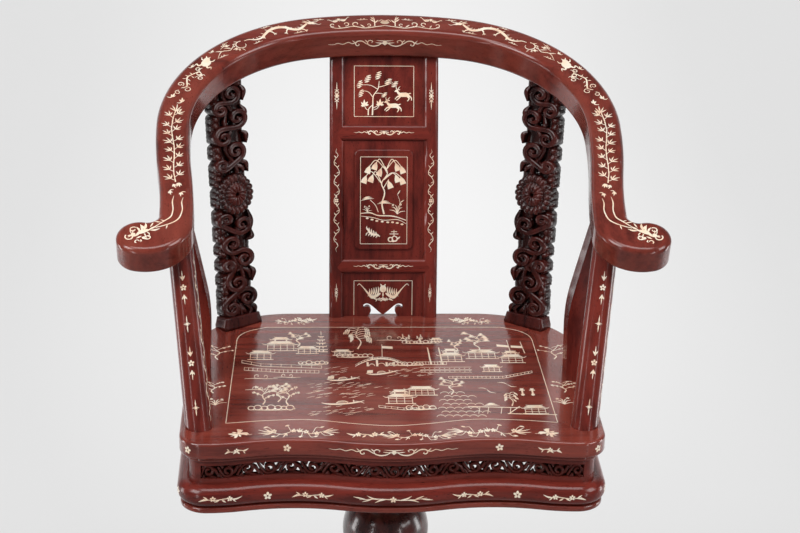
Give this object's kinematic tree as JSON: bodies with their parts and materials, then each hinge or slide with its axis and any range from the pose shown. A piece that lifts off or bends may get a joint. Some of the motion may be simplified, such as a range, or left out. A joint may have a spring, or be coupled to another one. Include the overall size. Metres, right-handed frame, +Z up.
{
  "type": "swivel armchair",
  "caption": "Horseshoe-back armchair with a box seat, splat and carved posts, turning on a turned pedestal with splayed legs.",
  "frame": {"origin": "on the floor, on the swivel axis", "axes": "+Z up, -Y towards where the sitter faces, +X to the right as seen from the front"},
  "size_m": [0.7144, 0.674, 0.899],
  "materials": {
    "rosewood": "polished lacquer with shell inlay",
    "seat_rosewood": "polished lacquer with shell inlay",
    "carved_rosewood": "carved, waxed dark",
    "pedestal_rosewood": "turned and polished",
    "plain_hardwood": "planed, unpolished",
    "steel": "plain steel",
    "hardened_steel": "ground and oiled",
    "screw_steel": "plain steel",
    "brass": "plain brass",
    "glide": "hard felt-faced pad"
  },
  "bodies": {
    "base": {"column": "pedestal_rosewood", "leg_right": "pedestal_rosewood", "leg_back": "pedestal_rosewood", "leg_left": "pedestal_rosewood", "leg_front": "pedestal_rosewood", "base_plate": "steel", "base_screws": "screw_steel", "foot_glides": "glide", "socket_tube": "steel", "flange_screws": "screw_steel", "lower_race": "hardened_steel"},
    "cage": {"ball_cage": "brass", "bearing_balls": "hardened_steel"},
    "seat": {"crest_rail": "rosewood", "arm_rail_right": "rosewood", "arm_rail_left": "rosewood", "hand_rail_right": "rosewood", "hand_rail_left": "rosewood", "splat_stile_right": "rosewood", "splat_stile_left": "rosewood", "splat_upper_rail": "rosewood", "splat_lower_rail": "rosewood", "splat_top_panel": "rosewood", "splat_middle_panel": "rosewood", "splat_bottom_panel": "rosewood", "front_post_right": "rosewood", "front_post_left": "rosewood", "side_post_right": "rosewood", "side_post_left": "rosewood", "seat_panel": "seat_rosewood", "seat_front_rail": "seat_rosewood", "seat_back_rail": "seat_rosewood", "seat_side_rail_right": "seat_rosewood", "seat_side_rail_left": "seat_rosewood", "neck_moulding": "seat_rosewood", "base_bead": "seat_rosewood", "apron_front": "seat_rosewood", "apron_back": "seat_rosewood", "apron_right": "seat_rosewood", "apron_left": "seat_rosewood", "carved_post_right": "carved_rosewood", "carved_post_left": "carved_rosewood", "frieze_front": "carved_rosewood", "frieze_back": "carved_rosewood", "frieze_right": "carved_rosewood", "frieze_left": "carved_rosewood", "rail_pegs": "plain_hardwood", "seat_battens": "plain_hardwood", "corner_blocks": "plain_hardwood", "bearer_right": "plain_hardwood", "bearer_left": "plain_hardwood", "mounting_plate": "steel", "spindle": "steel", "retaining_washer": "steel", "upper_race": "hardened_steel", "retaining_ring": "hardened_steel", "plate_screws": "screw_steel"}
  },
  "joints": [
    {"name": "seat_swivel", "type": "hinge", "parent": "base", "child": "seat", "pos_m": [0, 0, 0.376], "axis": [0, 0, 1], "continuous": true},
    {"name": "cage_spin", "type": "hinge", "parent": "base", "child": "cage", "pos_m": [0, 0, 0.376], "axis": [0, 0, 1], "continuous": true}
  ],
  "couplings": [
    {"joint": "cage_spin", "follows": "seat_swivel", "ratio": 0.5}
  ]
}
